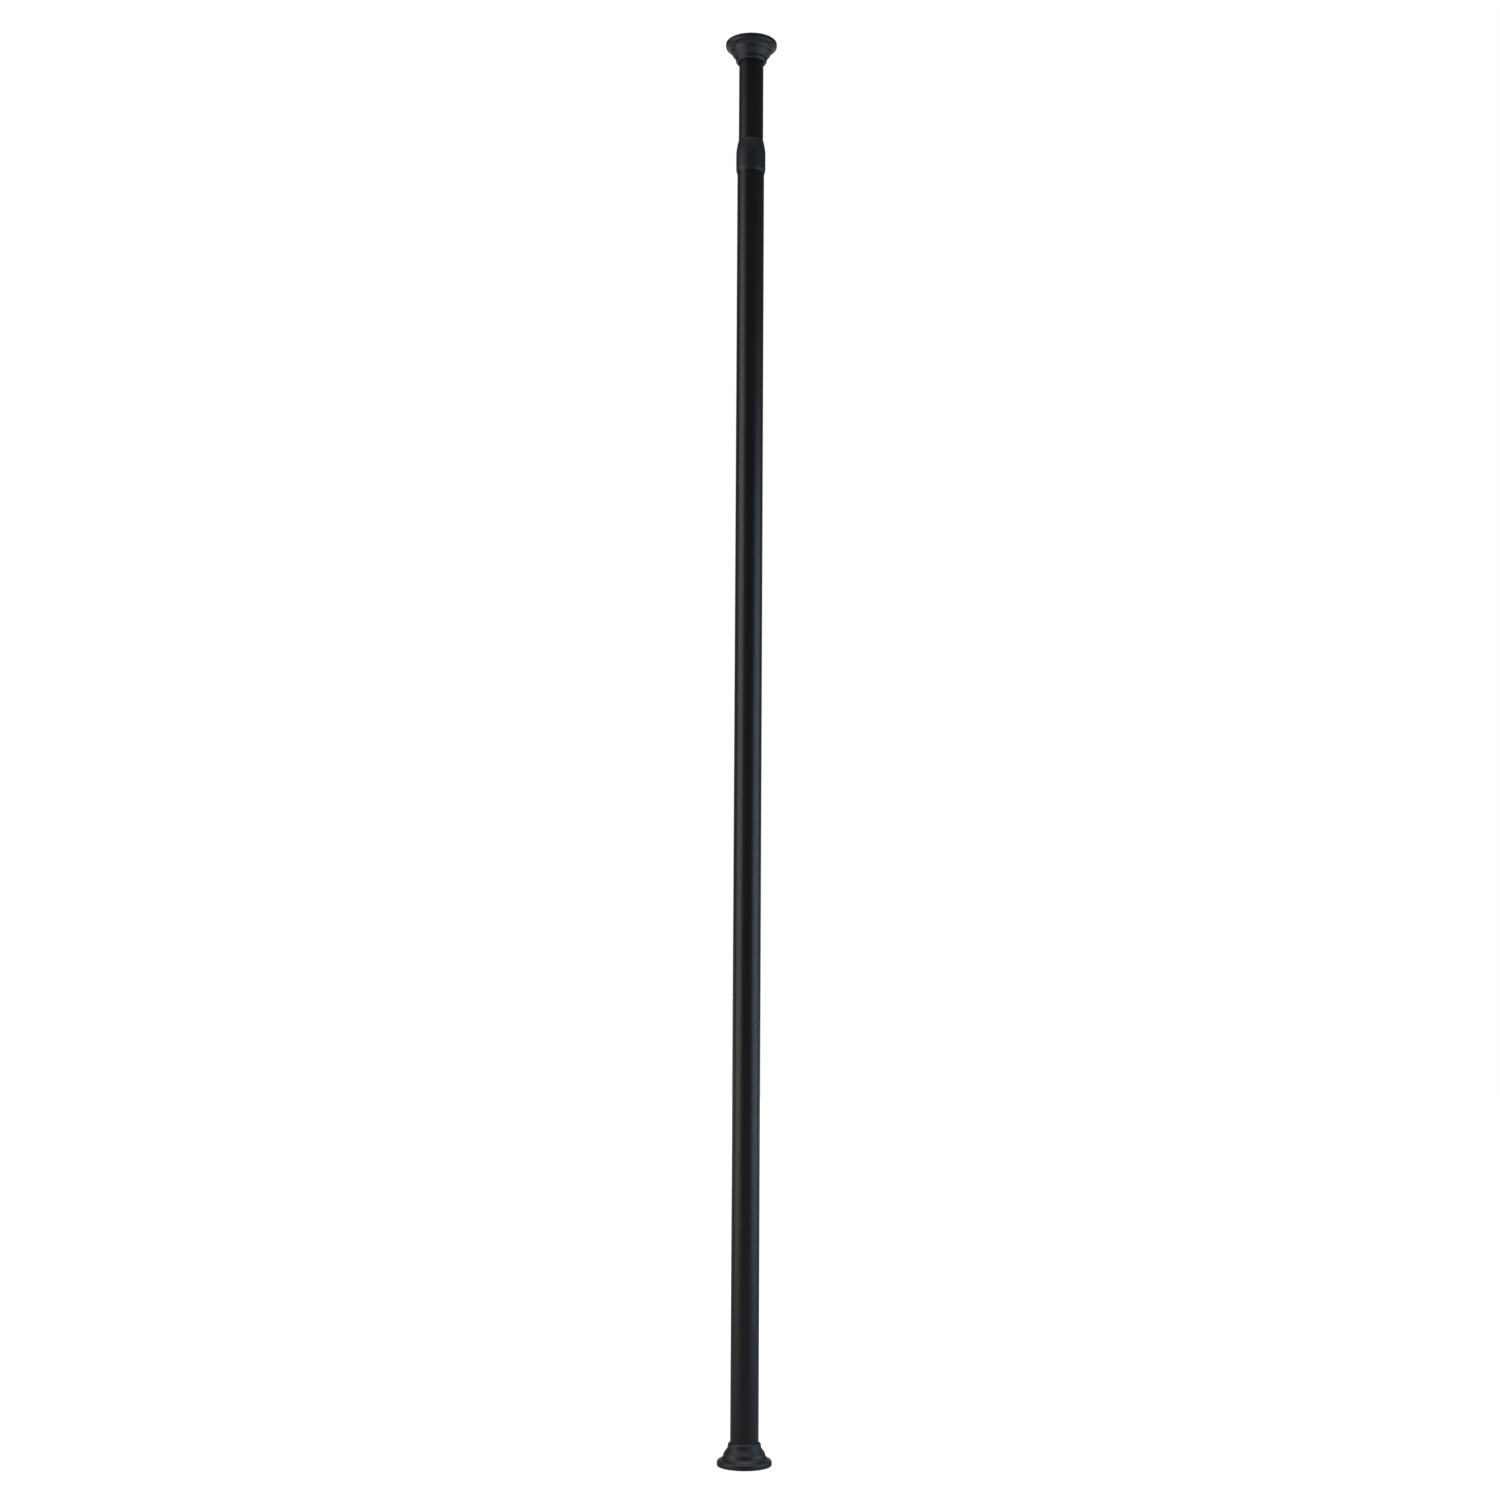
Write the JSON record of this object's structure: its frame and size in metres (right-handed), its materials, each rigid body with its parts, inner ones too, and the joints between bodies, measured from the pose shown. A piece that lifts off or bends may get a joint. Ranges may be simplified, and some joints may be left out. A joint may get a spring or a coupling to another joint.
{
  "type": "spring tension rod",
  "caption": "Telescoping round rod that clamps between two walls: twist lock and spring inside, flared end caps with rubber pads, collar where the tubes meet.",
  "frame": {"origin": "middle of the foot's rubber face, the end of the thick tube", "axes": "+Z runs along the rod from the foot to the head"},
  "size_m": [0.0428, 0.0426, 1.1561],
  "materials": {
    "tube_paint": "satin black powder coat",
    "cap_plastic": "matte black moulding",
    "pad_rubber": "soft matte rubber",
    "insert_nylon": "moulded nylon",
    "lock_nylon": "natural nylon",
    "zinc_steel": "zinc plate",
    "spring_steel": "oiled spring wire"
  },
  "bodies": {
    "outer tube": {"outer_tube": "tube_paint", "joint_collar": "cap_plastic", "foot_cover": "cap_plastic", "foot_insert": "insert_nylon", "foot_pad": "pad_rubber"},
    "lock": {"lock_cam": "lock_nylon", "spring_housing": "lock_nylon", "housing_pin": "zinc_steel", "housing_cap": "lock_nylon", "tension_spring": "spring_steel"},
    "shoe": {"lock_shoe": "lock_nylon"},
    "screw": {"adjusting_screw": "zinc_steel", "plunger": "lock_nylon", "cross_pin": "zinc_steel", "stop_washer": "lock_nylon"},
    "head": {"head_cover": "cap_plastic", "head_insert": "insert_nylon", "head_pad": "pad_rubber"},
    "inner tube": {"inner_tube": "tube_paint", "tube_nut": "lock_nylon", "glide_ring": "lock_nylon"}
  },
  "joints": [
    {"name": "telescope", "type": "slide", "parent": "outer tube", "child": "lock", "axis": [0, 0, 1], "range_m": [-0.0478, 0.65]},
    {"name": "lock_grip", "type": "hinge", "parent": "lock", "child": "shoe", "pos_m": [0.0008, 0, 0.0848], "axis": [0, 0, 1], "range_deg": [0, 20]},
    {"name": "spring_give", "type": "slide", "parent": "lock", "child": "screw", "axis": [0, 0, 1], "range_m": [-0.02, 0], "stiffness_N_per_m": 2500, "springref_m": 0.01, "deforming": ["tension_spring"]},
    {"name": "screw_advance", "type": "slide", "parent": "screw", "child": "head", "axis": [0, 0, 1], "range_m": [0, 0.03]},
    {"name": "twist", "type": "hinge", "parent": "head", "child": "inner tube", "pos_m": [0, 0, 1.1], "axis": [0, 0, 1], "range_deg": [0, 2160]}
  ],
  "couplings": [
    {"joint": "twist", "follows": "screw_advance", "rad_per_m": 1256.6}
  ]
}
